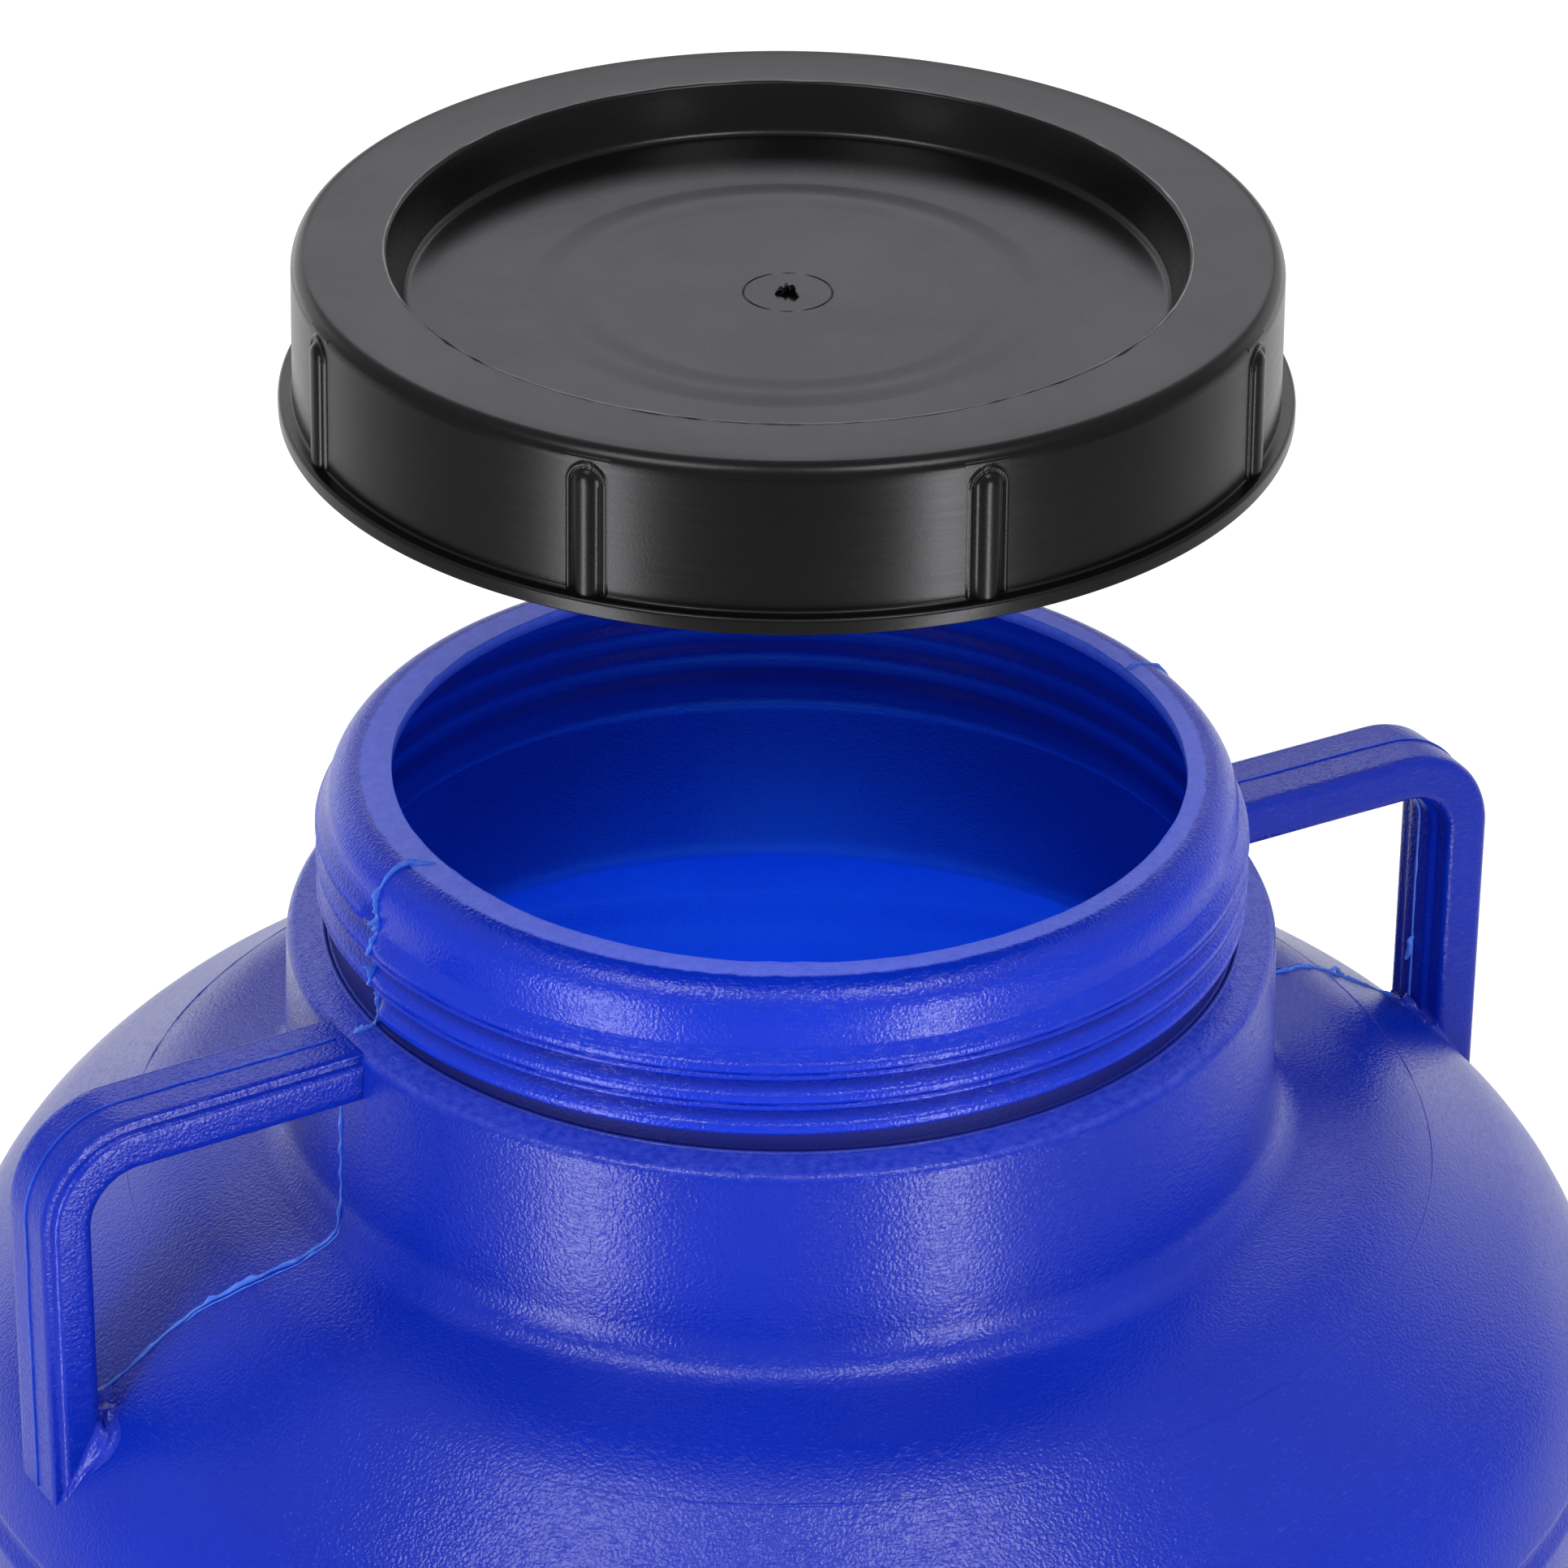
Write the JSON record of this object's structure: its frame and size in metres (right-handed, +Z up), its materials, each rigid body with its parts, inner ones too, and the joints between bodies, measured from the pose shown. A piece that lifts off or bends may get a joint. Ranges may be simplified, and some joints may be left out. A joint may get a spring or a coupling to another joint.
{
  "type": "pickling barrel",
  "caption": "Round blow-moulded plastic barrel with a wide threaded neck, two moulded grip handles and a ribbed screw lid with a sealing ring, for pickling and bulk food.",
  "frame": {"origin": "centre of the base ring on the floor, on the barrel's axis", "axes": "+Z up along the barrel's axis; X runs through both handles, in the mould's parting plane"},
  "size_m": [0.412, 0.412, 0.7416],
  "materials": {
    "blue_polyethylene": "satin, orange-peel blow-moulded skin",
    "black_polypropylene": "semi-gloss, lightly streaked",
    "seal_rubber": "matt"
  },
  "bodies": {
    "barrel": {"barrel_body": "blue_polyethylene", "handle_left": "blue_polyethylene", "handle_right": "blue_polyethylene"},
    "gasket": {"lid_gasket": "seal_rubber"},
    "lid": {"screw_lid": "black_polypropylene"}
  },
  "joints": [
    {"name": "lid_lift", "type": "slide", "parent": "barrel", "child": "gasket", "axis": [0, 0, 1], "range_m": [-0.1296, 0]},
    {"name": "lid_turn", "type": "hinge", "parent": "gasket", "child": "lid", "pos_m": [0, 0, 0.7416], "axis": [0, 0, 1], "range_deg": [-5832, 0]}
  ],
  "couplings": [
    {"joint": "lid_lift", "follows": "lid_turn", "m_per_rad": 0.0012732}
  ]
}
